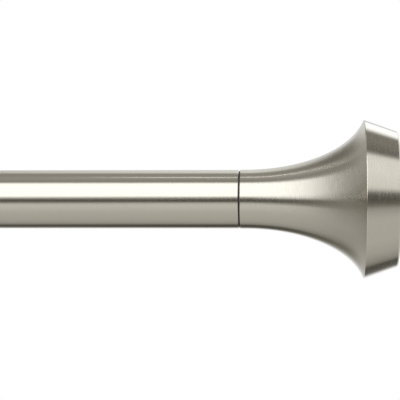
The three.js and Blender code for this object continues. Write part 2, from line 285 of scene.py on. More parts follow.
# ---- End plugs ----
# Black moulded plastic plugs, pressed into the outer end of each tube and tapped for the finial's stud. A
# thin flange keeps tube and finial apart: it is the dark line between them.

SEAT = 0.1 * MM  # gap between faces that butt together
STUD_BORE = 4.3 * MM
PLUG_LENGTH = 24 * MM
PLUG_FLANGE = 0.4 * MM
PLUG_FLANGE_STEP = 0.4 * MM  # how far the flange stays under the tube's skin
PLUG_FACETS = 72
PRESS_GAP = 0.3 * MM  # between a plug and the bore it is pressed into
MOULDED_EDGE = 0.12 * MM
PLASTIC_GRAIN = 0.25 * MM
GRAIN_DEPTH = 0.02 * MM
GRAIN_GLOSS = 0.16  # how much roughness the grain adds or takes away, all told
FLOWS_PER_METRE = 90
HANDLED_EDGE = 0.5  # how much of the paler, rubbed colour shows on an outer edge
HANDLED_POLISH = 0.2  # how much smoother a fully rubbed edge is


def moulded_plastic(name, colour, roughness):
    """Injection-moulded plastic with a fine spark-eroded grain and cloudy flow marks."""
    material, tree, shader = blank_material(name)
    place = add(tree, "ShaderNodeTexCoord").outputs["Object"]
    pits = {"Vector": place, "Scale": 1 / PLASTIC_GRAIN, "Detail": 3}
    pits = add(tree, "ShaderNodeTexNoise", pits).outputs[0]
    flow = {"Vector": place, "Scale": FLOWS_PER_METRE, "Detail": 2}
    flow = add(tree, "ShaderNodeTexNoise", flow).outputs[0]
    edge = add(tree, "ShaderNodeAttribute", attribute_name="edge").outputs["Fac"]
    worn = calc(tree, "MULTIPLY", calc(tree, "MAXIMUM", edge, 0), HANDLED_EDGE)
    dark = tuple(0.75 * value for value in colour[:3]) + (1,)
    pale = tuple(value + 0.06 * (1 - value) for value in colour[:3]) + (1,)
    body = tinted(tree, flow, dark, colour)
    tree.links.new(tinted(tree, worn, body, pale), shader.inputs["Base Color"])
    gloss = calc(tree, "MULTIPLY_ADD", pits, GRAIN_GLOSS, roughness - GRAIN_GLOSS / 2)
    tree.links.new(calc(tree, "MULTIPLY_ADD", worn, -HANDLED_POLISH, gloss), shader.inputs["Roughness"])
    skin = add(tree, "ShaderNodeBump", {"Height": pits, "Strength": 0.6, "Distance": GRAIN_DEPTH})
    tree.links.new(skin.outputs["Normal"], shader.inputs["Normal"])
    return material


black_plastic = moulded_plastic("black_plastic", (0.020, 0.019, 0.018, 1), 0.5)


def make_end_plug(tube, body, out):
    low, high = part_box(tube)
    axis = (low + high) / 2
    radius = (high.z - low.z) / 2
    end = high.x if out.x > 0 else low.x
    skin = radius - TUBE_WALL - PRESS_GAP
    flange = radius - PLUG_FLANGE_STEP
    outline = [
        (-PLUG_LENGTH, STUD_BORE, 2 * MOULDED_EDGE),
        (-PLUG_LENGTH, skin, 0.8 * MM),
        (SEAT, skin, 0),
        (SEAT, flange, MOULDED_EDGE),
        (SEAT + PLUG_FLANGE, flange, MOULDED_EDGE),
        (SEAT + PLUG_FLANGE, STUD_BORE, MOULDED_EDGE),
    ]
    plug = turned(tube + "_end_plug_moulding", outline, (end, axis.y, axis.z), out, PLUG_FACETS)
    finish(plug, black_plastic, body, "black_plastic", tube + "_end_plug")


make_end_plug("outer_tube", "outer_rod", RIGHT)
make_end_plug("inner_tube", "inner_rod", LEFT)


# ---- Mouth guide ----
# A black plastic ring snapped into the thick tube's inner end. The thin tube runs in its bore, so the two
# don't rattle or scratch each other.

GUIDE_LENGTH = 20 * MM
GUIDE_FLANGE = 1.2 * MM
GUIDE_PLAY = 0.15 * MM
GUIDE_FACETS = 96

mouth, outer_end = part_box("outer_tube")
thin_low, thin_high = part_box("inner_tube")
rod_axis = (mouth + outer_end) / 2
tube_radius = (outer_end.z - mouth.z) / 2
thin_radius = (thin_high.z - thin_low.z) / 2
guide_bore = thin_radius + GUIDE_PLAY
guide_skin = tube_radius - TUBE_WALL - SEAT
guide = turned(
    "mouth_guide_moulding",
    [
        (-GUIDE_LENGTH, guide_bore, MOULDED_EDGE),
        (-GUIDE_LENGTH, guide_skin, 2 * MOULDED_EDGE),
        (SEAT, guide_skin, 0),
        (SEAT, tube_radius - SEAT, MOULDED_EDGE),
        (SEAT + GUIDE_FLANGE, tube_radius - SEAT, 3 * MOULDED_EDGE),
        (SEAT + GUIDE_FLANGE, guide_bore, 3 * MOULDED_EDGE),
    ],
    (mouth.x, rod_axis.y, rod_axis.z),
    LEFT,
    GUIDE_FACETS,
)
finish(guide, black_plastic, "outer_rod", "black_plastic", "outer_tube_mouth_guide")


# ---- Glide ----
# A natural nylon plug pressed into the thin tube's hidden end. Its head is as wide as the thick tube's bore
# and slides in it, which keeps the two tubes in line.

GLIDE_SPIGOT = 14 * MM
GLIDE_HEAD = 9 * MM
GLIDE_PLAY = 0.2 * MM
NYLON_GLOW = 0.25  # share of the light that goes in under the skin
NYLON_GLOW_DEPTH = 1.5 * MM

nylon = moulded_plastic("natural_nylon", (0.640, 0.615, 0.545, 1), 0.42)
nylon_sockets = nylon.node_tree.nodes["Principled BSDF"].inputs
nylon_sockets["Subsurface Weight"].default_value = NYLON_GLOW
nylon_sockets["Subsurface Scale"].default_value = NYLON_GLOW_DEPTH

spigot = thin_radius - TUBE_WALL - PRESS_GAP
head = tube_radius - TUBE_WALL - GLIDE_PLAY
glide = turned(
    "glide_moulding",
    [
        (-GLIDE_SPIGOT, 0, 0),
        (-GLIDE_SPIGOT, spigot, 1.2 * MM),
        (SEAT, spigot, 0),
        (SEAT, head, 0.5 * MM),
        (SEAT + GLIDE_HEAD, head, 1.5 * MM),
        (SEAT + GLIDE_HEAD, 0, 0),
    ],
    (thin_high.x, rod_axis.y, rod_axis.z),
    RIGHT,
    PLUG_FACETS,
    closed=False,
)
finish(glide, nylon, "inner_rod", "nylon", "inner_tube_glide")


# ---- Finial shells ----
# Each trumpet is spun from one steel blank: a neck as thick as the rod, a flare that ends in a sharp rim,
# and a band that tapers back from the rim. It is brushed while it still turns in the lathe, then plated.

NECK_RADIUS = 12.8 * MM
NECK_STRAIGHT = 2.3 * MM
FLARE_LENGTH = 52 * MM
FLARE_DEPTH = 26.8 * MM
RIM_RADIUS = 34.2 * MM
BAND_LENGTH = 13.8 * MM
BAND_END_RADIUS = 29.25 * MM
LIP = 0.6 * MM
SHELL_WALL = 1.8 * MM
NECK_FLOOR = 3 * MM
FLOOR_BORE = 7.3 * MM
CAP_RADIUS = 27.2 * MM
CAP_BACK = 2.4 * MM  # from the lip to the back of the cap's seat
CAP_PLAY = 0.3 * MM
SPUN_EDGE = 0.2 * MM  # radius left on the shell's inner corners
INSIDE_START = 0.15  # radians round the flare at which its inner skin begins
INSIDE_END = 0.9  # share of the flare at which it ends
FLARE_STEPS = 80

rim_turn = math.acos(1 - (RIM_RADIUS - NECK_RADIUS) / FLARE_DEPTH)
rim_at = NECK_STRAIGHT + FLARE_LENGTH * math.sin(rim_turn)
band_end = rim_at + BAND_LENGTH
finial_end = band_end + LIP


def flare(inset, first, last, steps):
    """Corners along the flare's quarter ellipse, held off its outer skin by an inset."""
    corners = []
    for step in range(steps + 1):
        angle = first + (last - first) * step / steps
        slope = Vector((FLARE_LENGTH * math.cos(angle), FLARE_DEPTH * math.sin(angle))).normalized()
        along = NECK_STRAIGHT + FLARE_LENGTH * math.sin(angle) + inset * slope.y
        corners.append((along, NECK_RADIUS + FLARE_DEPTH * (1 - math.cos(angle)) - inset * slope.x, 0))
    return corners


def inner_end(node, out):
    """Where a piece on the rod's axis begins, at its end towards the rod's middle."""
    low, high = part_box(node)
    return Vector((low.x if out.x > 0 else high.x, rod_axis.y, rod_axis.z))


def make_finial_shell(side, out):
    seat_radius = CAP_RADIUS + CAP_PLAY
    outside = flare(0, 0, rim_turn, FLARE_STEPS)
    outside[-1] = (rim_at, RIM_RADIUS, 0.35 * MM)
    inside = flare(SHELL_WALL, INSIDE_START, INSIDE_END * rim_turn, FLARE_STEPS // 4)
    outline = [
        (0, NECK_RADIUS, BROKEN_EDGE),
        *outside,
        (band_end, BAND_END_RADIUS, 0.25 * MM),
        (finial_end, BAND_END_RADIUS - LIP, 0.15 * MM),
        (finial_end, seat_radius, SPUN_EDGE),
        (finial_end - CAP_BACK, seat_radius, SPUN_EDGE),
        (finial_end - CAP_BACK, CAP_RADIUS - SHELL_WALL, SPUN_EDGE),
        (rim_at + SHELL_WALL, RIM_RADIUS - 2 * SHELL_WALL, 0.5 * MM),
        *reversed(inside),
        (NECK_FLOOR, NECK_RADIUS - SHELL_WALL, 0.5 * MM),
        (NECK_FLOOR, FLOOR_BORE, SPUN_EDGE),
        (0, FLOOR_BORE, SPUN_EDGE),
    ]
    node = side + "_finial_shell"
    shell = turned(side + "_finial_trumpet", outline, inner_end(node, out), out)
    finish(shell, finial_nickel, side + "_finial", "brushed_nickel", node)


finial_nickel = brushed_nickel("brushed_nickel_finial", strokes=5, slant=6, contrast=0.13, depth=0.002 * MM)
SIDES = {"right": RIGHT, "left": LEFT}
for side, out in SIDES.items():
    make_finial_shell(side, out)


# ---- Finial end caps ----
# A steel disc dropped into a seat just inside the trumpet's lip and held by adhesive. It is faced on the
# lathe, so its brush lines are circles round its middle.

CAP_THICKNESS = 1.5 * MM
CAP_INSET = 0.8 * MM

for side, out in SIDES.items():
    neck = inner_end(side + "_finial_shell", out)
    front = finial_end - CAP_INSET
    outline = [
        (front - CAP_THICKNESS, 0, 0),
        (front - CAP_THICKNESS, CAP_RADIUS, 0.15 * MM),
        (front, CAP_RADIUS, 0.3 * MM),
        (front, 0, 0),
    ]
    cap = turned(side + "_finial_disc", outline, neck, out, closed=False)
    finish(cap, finial_nickel, side + "_finial", "brushed_nickel", side + "_finial_end_cap")


# ---- Finial studs ----
# M8 studding, 30 mm long, zinc plated, with its thread rolled from end to end. When the finial is unscrewed,
# the stud moves outwards with it and doesn't turn.

STUD_RADIUS = 4 * MM
STUD_LENGTH = 30 * MM
STUD_PITCH = 1.25 * MM
STUD_FACETS = 32
THREAD_SHARE = 0.61  # a metric thread's depth, as a share of its pitch
THREAD_FLAT = 0.06  # half the flat on its crest and in its root, in pitches
THREAD_START = 0.1  # how many turns from its end a thread begins
THREAD_FULL = 0.9  # and how many before it has its full height
ROWS_PER_TURN = 8
END_ROWS = 3  # rows of the grid on top of those, to close the ends
WELD = 0.001 * MM
ZINC_DARK = (0.56, 0.58, 0.60, 1)
ZINC_PALE = (0.74, 0.74, 0.73, 1)
ZINC_PATCH = 6 * MM
CRYSTALS_PER_METRE = 2500
CRYSTAL_DEPTH = 0.01 * MM
STUD_SIZES = {"Radius": STUD_RADIUS, "Length": STUD_LENGTH, "Pitch": STUD_PITCH, "Facets": STUD_FACETS}


def zinc_plate(name):
    """Blue-passivated zinc on steel: a fine crystal sparkle and cloudy patches."""
    material, tree, shader = blank_material(name)
    place = add(tree, "ShaderNodeTexCoord").outputs["Object"]
    patches = {"Vector": place, "Scale": 1 / ZINC_PATCH, "Detail": 4}
    patches = add(tree, "ShaderNodeTexNoise", patches).outputs[0]
    crystals = {"Vector": place, "Scale": CRYSTALS_PER_METRE}
    crystals = add(tree, "ShaderNodeTexVoronoi", crystals).outputs["Distance"]
    colour = tinted(tree, patches, ZINC_DARK, ZINC_PALE)
    tree.links.new(colour, shader.inputs["Base Color"])
    gloss = calc(tree, "MULTIPLY_ADD", patches, 0.2, 0.22)
    tree.links.new(calc(tree, "MULTIPLY_ADD", crystals, 0.08, gloss), shader.inputs["Roughness"])
    skin = add(tree, "ShaderNodeBump", {"Height": crystals, "Strength": 0.3, "Distance": CRYSTAL_DEPTH})
    tree.links.new(skin.outputs["Normal"], shader.inputs["Normal"])
    shader.inputs["Metallic"].default_value = 1
    return material


def begun_tree(name, sizes):
    """A new tree of geometry nodes with a named input for each size, and those inputs' sockets."""
    tree = bpy.data.node_groups.new(name, "GeometryNodeTree")
    for label, value in sizes.items():
        kind = "NodeSocketInt" if isinstance(value, int) else "NodeSocketFloat"
        tree.interface.new_socket(label, in_out="INPUT", socket_type=kind).default_value = value
    tree.interface.new_socket("Geometry", in_out="OUTPUT", socket_type="NodeSocketGeometry")
    return tree, add(tree, "NodeGroupInput").outputs


def thread_tree(material):
    """Geometry nodes for a threaded rod along +Z from the origin: a grid that is rolled up and ridged."""
    tree, size = begun_tree("rolled_thread", STUD_SIZES)
    turns = calc(tree, "DIVIDE", size["Length"], size["Pitch"])
    rows = calc(tree, "MULTIPLY_ADD", turns, ROWS_PER_TURN, END_ROWS)
    columns = calc(tree, "ADD", size["Facets"], 1)
    sheet = {"Size X": 1, "Size Y": 1, "Vertices X": columns, "Vertices Y": rows}
    sheet = add(tree, "GeometryNodeMeshGrid", sheet)
    spot = add(tree, "ShaderNodeSeparateXYZ", {0: add(tree, "GeometryNodeInputPosition").outputs[0]})
    share = calc(tree, "ADD", spot.outputs["X"], 0.5)
    up = calc(tree, "ADD", spot.outputs["Y"], 0.5)
    angle = calc(tree, "MULTIPLY", share, 2 * math.pi)
    wound = calc(tree, "SUBTRACT", calc(tree, "MULTIPLY", up, turns), share)
    ridge = calc(tree, "PINGPONG", wound, 0.5)
    ridge = add(tree, "ShaderNodeMapRange", {"Value": ridge, 1: THREAD_FLAT, 2: 0.5 - THREAD_FLAT}).outputs[0]
    from_end = calc(tree, "MULTIPLY", calc(tree, "PINGPONG", up, 0.5), turns)
    starts = {"Value": from_end, 1: THREAD_START, 2: THREAD_FULL}
    starts = add(tree, "ShaderNodeMapRange", starts).outputs[0]
    depth = calc(tree, "MULTIPLY", size["Pitch"], THREAD_SHARE)
    root = calc(tree, "SUBTRACT", size["Radius"], depth)
    radius = calc(tree, "MULTIPLY_ADD", calc(tree, "MULTIPLY", ridge, starts), depth, root)
    row_share = calc(tree, "DIVIDE", 0.5, rows)
    inside = calc(tree, "GREATER_THAN", calc(tree, "PINGPONG", up, 0.5), row_share)
    radius = calc(tree, "MULTIPLY", radius, inside)
    last_row = calc(tree, "SUBTRACT", 1, row_share)
    height = add(tree, "ShaderNodeMapRange", {"Value": up, 1: row_share, 2: last_row})
    place = {
        0: calc(tree, "MULTIPLY", calc(tree, "COSINE", angle), radius),
        1: calc(tree, "MULTIPLY", calc(tree, "SINE", angle), radius),
        2: calc(tree, "MULTIPLY", height.outputs[0], size["Length"]),
    }
    place = add(tree, "ShaderNodeCombineXYZ", place).outputs[0]
    rolled = add(tree, "GeometryNodeSetPosition", {"Geometry": sheet.outputs["Mesh"], "Position": place})
    closed = add(tree, "GeometryNodeMergeByDistance", {"Geometry": rolled.outputs[0], "Distance": WELD})
    return finished_tree(tree, closed.outputs[0], material)


def finished_tree(tree, geometry, material):
    """Ends a tree: instances made real, and the material set."""
    real = add(tree, "GeometryNodeRealizeInstances", {"Geometry": geometry})
    done = add(tree, "GeometryNodeSetMaterial", {"Geometry": real.outputs[0], "Material": material})
    add(tree, "NodeGroupOutput", {"Geometry": done.outputs[0]})
    return tree


def grown(name, tree, sizes, start, direction):
    """The plain mesh that a node tree makes with those sizes, stood on a point and turned to a direction."""
    carrier = shown(name, bpy.data.meshes.new(name))
    modifier = carrier.modifiers.new("grown", "NODES")
    modifier.node_group = tree
    for item in tree.interface.items_tree:
        if item.in_out == "INPUT" and item.name in sizes:
            modifier[item.identifier] = sizes[item.name]
    graph = bpy.context.evaluated_depsgraph_get()
    mesh = bpy.data.meshes.new_from_object(carrier.evaluated_get(graph))
    carrier.modifiers.remove(modifier)
    carrier.data = mesh
    mesh.name = name
    turn = Vector(direction).to_track_quat("Z", "Y").to_matrix().to_4x4()
    mesh.transform(Matrix.Translation(Vector(start)) @ turn)
    mesh.polygons.foreach_set("use_smooth", [True] * len(mesh.polygons))
    return carrier


zinc = zinc_plate("zinc_plated_steel")
stud_thread = thread_tree(zinc)
for side, out in SIDES.items():
    node = side + "_finial_stud"
    stud = grown(side + "_finial_studding", stud_thread, STUD_SIZES, inner_end(node, out), out)
    finish(stud, zinc, side + "_finial_fixing", "zinc_steel", node)


# ---- Finial bushes ----
# A turned steel bush pressed into the floor of the finial's neck from inside, tapped M8 and zinc plated. Its
# shoulder bears on the floor, so that the stud can't pull it through.

BUSH_SPIGOT = 7 * MM
BUSH_RADIUS = 9.5 * MM
BUSH_LENGTH = 15 * MM
BUSH_FACETS = 64
CHAMFER = 0.25 * MM

for side, out in SIDES.items():
    neck = inner_end(side + "_finial_shell", out)
    step = NECK_FLOOR + SEAT
    outline = [
        (SEAT, STUD_BORE, 3 * CHAMFER),
        (SEAT, BUSH_SPIGOT, CHAMFER),
        (step, BUSH_SPIGOT, 0.5 * CHAMFER),
        (step, BUSH_RADIUS, CHAMFER),
        (BUSH_LENGTH, BUSH_RADIUS, 2 * CHAMFER),
        (BUSH_LENGTH, STUD_BORE, 3 * CHAMFER),
    ]
    bush = turned(side + "_finial_insert", outline, neck, out, BUSH_FACETS)
    finish(bush, zinc, side + "_finial", "zinc_steel", side + "_finial_bush")


# ---- Wall plates ----
# A steel disc with a sloping edge, faced on the lathe before plating, so its brush lines are circles. Two
# countersunk holes, one above the other, take wood screws.

PLATE_RADIUS = 30 * MM
PLATE_FACE_RADIUS = 27.4 * MM
PLATE_THICKNESS = 4 * MM
PLATE_EDGE = 1.6 * MM
HOLE_RADIUS = 2.4 * MM
HOLE_OFFSET = 20 * MM
COUNTERSINK_RADIUS = 4.8 * MM
COUNTERSINK_DEPTH = 2.4 * MM
PLATE_FACETS = 120
HOLE_FACETS = 48
CREASE = math.radians(35)  # the sharpest turn that is still shaded smooth
TO_ROOM = Vector((0, -1, 0))


def cut(piece, tools, operation="DIFFERENCE"):
    """Cuts tools out of a piece, or joins them to it, and leaves plain meshes with crisp new edges."""
    for tool in tools:
        joint = piece.modifiers.new("cut", "BOOLEAN")
        joint.solver = "EXACT"
        joint.operation = operation
        joint.object = tool
        graph = bpy.context.evaluated_depsgraph_get()
        mesh = bpy.data.meshes.new_from_object(piece.evaluated_get(graph))
        piece.modifiers.clear()
        piece.data = mesh
        bpy.data.objects.remove(tool)
    return piece


def even_out(piece):
    """Smooth shading that leaves flats flat and sharp edges sharp."""
    piece.data.shade_smooth()
    piece.data.set_sharp_from_angle(angle=CREASE)
    even = piece.modifiers.new("even", "WEIGHTED_NORMAL")
    even.keep_sharp = True
    graph = bpy.context.evaluated_depsgraph_get()
    mesh = bpy.data.meshes.new_from_object(piece.evaluated_get(graph))
    piece.modifiers.clear()
    piece.data = mesh


def wall_side(node):
    """The middle of a piece's back, where it faces the wall."""
    low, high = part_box(node)
    return Vector(((low.x + high.x) / 2, high.y, (low.z + high.z) / 2))


def plate_hole(centre):
    break_edge = 0.25 * MM
    outline = [
        (-MM, 0, 0),
        (-MM, HOLE_RADIUS, 0),
        (PLATE_THICKNESS - COUNTERSINK_DEPTH, HOLE_RADIUS, 0),
        (PLATE_THICKNESS - break_edge, COUNTERSINK_RADIUS - break_edge, 0),
        (PLATE_THICKNESS, COUNTERSINK_RADIUS + break_edge / 2, 0),
        (PLATE_THICKNESS + MM, COUNTERSINK_RADIUS + break_edge / 2, 0),
        (PLATE_THICKNESS + MM, 0, 0),
    ]
    return turned("hole", outline, centre, TO_ROOM, HOLE_FACETS, closed=False)


def make_wall_plate(side):
    centre = wall_side(side + "_wall_plate")
    outline = [
        (0, 0, 0),
        (0, PLATE_RADIUS, 0.2 * MM),
        (PLATE_EDGE, PLATE_RADIUS, 0.35 * MM),
        (PLATE_THICKNESS, PLATE_FACE_RADIUS, 0.5 * MM),
        (PLATE_THICKNESS, 0, 0),
    ]
    plate = turned(side + "_wall_disc", outline, centre, TO_ROOM, PLATE_FACETS, closed=False)
    up = Vector((0, 0, HOLE_OFFSET))
    even_out(cut(plate, [plate_hole(centre + up), plate_hole(centre - up)]))
    finish(plate, bracket_nickel, side + "_bracket_base", "brushed_nickel", side + "_wall_plate")


bracket_nickel = brushed_nickel("brushed_nickel_bracket", roughness=0.3, strokes=4, slant=2)
for side in SIDES:
    make_wall_plate(side)


# ---- Arm sleeves ----
# A turned steel sleeve that stands square on the plate. It has a spreading foot, and a collar at its open
# end that is thick enough to be tapped for a thumbscrew.

ARM_RADIUS = 5 * MM
SLIDE_FIT = 0.3 * MM
SLEEVE_RADIUS = 7 * MM
SLEEVE_END = 58 * MM
SLEEVE_FOOT_RADIUS = 11 * MM
SLEEVE_FOOT = 2.2 * MM
SLEEVE_FLOOR = 10 * MM
COLLAR_RADIUS = 8.5 * MM
COLLAR_LENGTH = 12 * MM
SCREW_BORE = 2.3 * MM
BAR_FACETS = 96  # facets round sleeves and arms
PIN_FACETS = 32
ARM_SCREW_AT = SLEEVE_END - COLLAR_LENGTH / 2
DOWN = Vector((0, 0, -1))


def pin(centre, direction, radius, first, last):
    """A plain round cutter."""
    outline = [(first, 0, 0), (first, radius, 0), (last, radius, 0), (last, 0, 0)]
    return turned("pin", outline, centre, direction, PIN_FACETS, closed=False)


def make_sleeve(side):
    centre = wall_side(side + "_wall_plate")
    foot = PLATE_THICKNESS + SEAT
    bore = ARM_RADIUS + SLIDE_FIT
    collar = SLEEVE_END - COLLAR_LENGTH
    outline = [
        (foot, 0, 0),
        (foot, SLEEVE_FOOT_RADIUS, 0.15 * MM),
        (foot + SLEEVE_FOOT, SLEEVE_FOOT_RADIUS, 0.5 * MM),
        (foot + 2 * SLEEVE_FOOT, SLEEVE_RADIUS, 1.2 * MM),
        (collar - MM, SLEEVE_RADIUS, 0.5 * MM),
        (collar, COLLAR_RADIUS, 0.4 * MM),
        (SLEEVE_END, COLLAR_RADIUS, 0.5 * MM),
        (SLEEVE_END, bore, 0.3 * MM),
        (SLEEVE_FLOOR, bore, 0.3 * MM),
        (SLEEVE_FLOOR, 0, 0),
    ]
    sleeve = turned(side + "_turned_sleeve", outline, centre, TO_ROOM, BAR_FACETS, closed=False)
    tapping = pin(centre + TO_ROOM * ARM_SCREW_AT, DOWN, SCREW_BORE, 0, COLLAR_RADIUS + MM)
    even_out(cut(sleeve, [tapping]))
    finish(sleeve, bracket_nickel, side + "_bracket_base", "brushed_nickel", side + "_arm_sleeve")


for side in SIDES:
    make_sleeve(side)


# ---- Arms ----
# A bright-drawn steel bar, 10 mm across, ground round and plated. It slides in the sleeve to set how far the
# rod stands off the wall.

for side in SIDES:
    low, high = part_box(side + "_arm")
    length = high.y - low.y
    outline = [(0, 0, 0), (0, ARM_RADIUS, 0.6 * MM), (length, ARM_RADIUS, 0.6 * MM), (length, 0, 0)]
    centre = wall_side(side + "_arm")
    arm = turned(side + "_arm_bar", outline, centre, TO_ROOM, BAR_FACETS, closed=False)
    finish(arm, bracket_nickel, side + "_bracket_arm", "brushed_nickel", side + "_arm")


# ---- Cradles ----
# A flat steel strip bent to a hook, higher at the back, that the rod drops into. A boss brazed to its back
# takes the arm, and a lug below its front is tapped for the thumbscrew that locks the rod.

CRADLE_RADIUS = 13.2 * MM
CRADLE_WALL = 2.8 * MM
CRADLE_WIDTH = 16 * MM
CRADLE_BACK_TOP = 8 * MM
CRADLE_FRONT_TOP = 3 * MM
STRIP_EDGE = 0.6 * MM
BEND_STEPS = 64
BOSS_RADIUS = 8 * MM
BOSS_LENGTH = 6 * MM
BOSS_FACETS = 72
SOCKET_DEPTH = 5 * MM
LUG_RADIUS = 5 * MM
LUG_REACH = 20 * MM
LUG_FACETS = 64
SCREW_LEAN = math.radians(45)  # below the horizontal
SCREW_OUT = Vector((0, -math.cos(SCREW_LEAN), -math.sin(SCREW_LEAN)))


def strip_section(shrink):
    """The strip's cross-section as (across, through, edge) points, drawn in by a little at its ends."""
    radius = STRIP_EDGE - shrink
    width, wall = CRADLE_WIDTH / 2 - STRIP_EDGE, CRADLE_WALL / 2 - STRIP_EDGE
    section = []
    for corner, (side_x, side_y) in enumerate(((1, 1), (-1, 1), (-1, -1), (1, -1))):
        for step in range(ARC_STEPS + 1):
            angle = math.pi / 2 * (corner + step / ARC_STEPS)
            across = side_x * width + radius * math.cos(angle)
            through = side_y * wall + radius * math.sin(angle)
            section.append((across, through, math.sin(math.pi * step / ARC_STEPS)))
    return section


def make_strip(name, axis):
    """The bent strip as rows of sections along its middle line, from its back top round to its front top."""
    middle = CRADLE_RADIUS + CRADLE_WALL / 2
    bend = math.pi * middle
    length = CRADLE_BACK_TOP + bend + CRADLE_FRONT_TOP
    rows = []
    for step in range(ARC_STEPS + 1):
        angle = math.pi / 2 * step / ARC_STEPS
        rows.append((STRIP_EDGE * (1 - math.sin(angle)), STRIP_EDGE * (1 - math.cos(angle)), math.cos(angle)))
    ends = [(length - at, shrink, edge) for at, shrink, edge in rows]
    bends = [(CRADLE_BACK_TOP + bend * step / BEND_STEPS, 0, 0.0) for step in range(BEND_STEPS + 1)]
    rows = rows[::-1] + bends + ends
    points, edges, uvs, faces = [], [], [], []
    for at, shrink, end_edge in rows:
        turn = (at - CRADLE_BACK_TOP) / middle
        bent = min(max(turn, 0), math.pi)
        outward = Vector((0, math.cos(bent), -math.sin(bent)))
        onward = Vector((0, -math.sin(bent), -math.cos(bent)))
        centre = Vector(axis) + outward * middle + onward * (turn - bent) * middle
        for across, through, edge in strip_section(shrink):
            points.append(centre + RIGHT * across + outward * through)
            edges.append(max(edge, end_edge))
            uvs.append((across, at / length))
    sides = len(points) // len(rows)
    for i in range(len(rows) - 1):
        for j in range(sides):
            k = (j + 1) % sides
            faces.append([i * sides + j, i * sides + k, (i + 1) * sides + k, (i + 1) * sides + j])
    faces.append(list(range(sides))[::-1])
    faces.append([(len(rows) - 1) * sides + j for j in range(sides)])
    mesh = bpy.data.meshes.new(name)
    mesh.from_pydata(points, [], faces)
    brushing = mesh.uv_layers.new(name="brushing")
    brushing.uv.foreach_set("vector", [value for face in faces for corner in face for value in uvs[corner]])
    mesh.attributes.new("edge", "FLOAT", "POINT").data.foreach_set("value", edges)
    return shown(name, mesh)


def make_cradle(side):
    low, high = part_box(side + "_cradle")
    axis = Vector(((low.x + high.x) / 2, rod_axis.y, rod_axis.z))
    back = CRADLE_RADIUS + CRADLE_WALL
    boss = [
        (0, 0, 0),
        (0, BOSS_RADIUS, 0.5 * MM),
        (BOSS_LENGTH + MM, BOSS_RADIUS, 0),
        (BOSS_LENGTH + MM, 0, 0),
    ]
    lug = [
        (CRADLE_RADIUS + CRADLE_WALL / 2, 0, 0),
        (CRADLE_RADIUS + CRADLE_WALL / 2, LUG_RADIUS, 0),
        (LUG_REACH, LUG_RADIUS, 0.5 * MM),
        (LUG_REACH, 0, 0),
    ]
    arm_end = axis - TO_ROOM * (back + BOSS_LENGTH)
    cradle = make_strip(side + "_bent_cradle", axis)
    brazed_on = [
        turned("boss", boss, arm_end, TO_ROOM, BOSS_FACETS, closed=False),
        turned("lug", lug, axis, SCREW_OUT, LUG_FACETS, closed=False),
    ]
    cut(cradle, brazed_on, "UNION")
    holes = [
        pin(arm_end, TO_ROOM, ARM_RADIUS + SLIDE_FIT, -MM, SOCKET_DEPTH),
        pin(axis, SCREW_OUT, SCREW_BORE, CRADLE_RADIUS - 2 * MM, LUG_REACH + MM),
    ]
    even_out(cut(cradle, holes))
    finish(cradle, bracket_nickel, side + "_bracket_arm", "brushed_nickel", side + "_cradle")


for side in SIDES:
    make_cradle(side)


# ---- Thumbscrews ----
# M4 screws turned from bar: a rolled thread, and a head with a straight knurl between two turned chamfers so
# that fingers can grip it. One locks each arm in its sleeve and one locks the rod in each cradle.

SCREW_RADIUS = 2 * MM
SCREW_PITCH = 0.7 * MM
TIP_LENGTH = 1.5 * MM
ROD_SCREW_SHANK = 9.5 * MM
ARM_SCREW_SHANK = 5.2 * MM
HEAD_RADIUS = 5.5 * MM
HEAD_LENGTH = 5.5 * MM
HEAD_CHAMFER = 0.6 * MM
KNURL_DEPTH = 0.35 * MM
KNURL_RIDGES = 36
RIDGE_SIDES = 6  # sides of the prism that makes one ridge
RELIEF_RADIUS = 0.8 * SCREW_RADIUS  # where the thread runs out under the head
RELIEF_DEPTH = 0.4 * MM
DISH_RIM = 0.55 * HEAD_RADIUS
DISH_FLOOR = 0.45 * HEAD_RADIUS
DISH_DEPTH = 0.3 * MM
HEAD_FACETS = 72
SCREW_FACETS = 24
KNURL_SIZES = {
    "Radius": HEAD_RADIUS,
    "Depth": KNURL_DEPTH,
    "Length": HEAD_LENGTH,
    "Chamfer": HEAD_CHAMFER,
    "Ridges": KNURL_RIDGES,
}


def knurl_tree(material):
    """Geometry nodes for a straight knurl about +Z: one ridge, an upright prism, set round a circle."""
    tree, size = begun_tree("straight_knurl", KNURL_SIZES)
    foot = calc(tree, "SUBTRACT", size["Radius"], size["Depth"])
    circle = add(tree, "GeometryNodeMeshCircle", {"Vertices": size["Ridges"], "Radius": foot})
    long = calc(tree, "SUBTRACT", size["Length"], calc(tree, "MULTIPLY", size["Chamfer"], 2))
    ridge = {"Vertices": RIDGE_SIDES, "Radius": size["Depth"], "Depth": long, "Side Segments": 1}
    ridge = add(tree, "GeometryNodeMeshCylinder", ridge)
    turn = add(tree, "GeometryNodeInputIndex").outputs[0]
    turn = calc(tree, "MULTIPLY", calc(tree, "DIVIDE", turn, size["Ridges"]), 2 * math.pi)
    spin = add(tree, "ShaderNodeCombineXYZ", {2: turn}).outputs[0]
    ridges = {"Points": circle.outputs[0], "Instance": ridge.outputs["Mesh"], "Rotation": spin}
    ridges = add(tree, "GeometryNodeInstanceOnPoints", ridges)
    lift = add(tree, "ShaderNodeCombineXYZ", {2: calc(tree, "DIVIDE", size["Length"], 2)}).outputs[0]
    raised = add(tree, "GeometryNodeTransform", {"Geometry": ridges.outputs[0], "Translation": lift})
    return finished_tree(tree, raised.outputs[0], material)


def joined(name, pieces):
    """Several plain meshes as one piece."""
    with bpy.context.temp_override(active_object=pieces[0], selected_editable_objects=pieces):
        bpy.ops.object.join()
    pieces[0].name = name
    pieces[0].data.name = name
    return pieces[0]


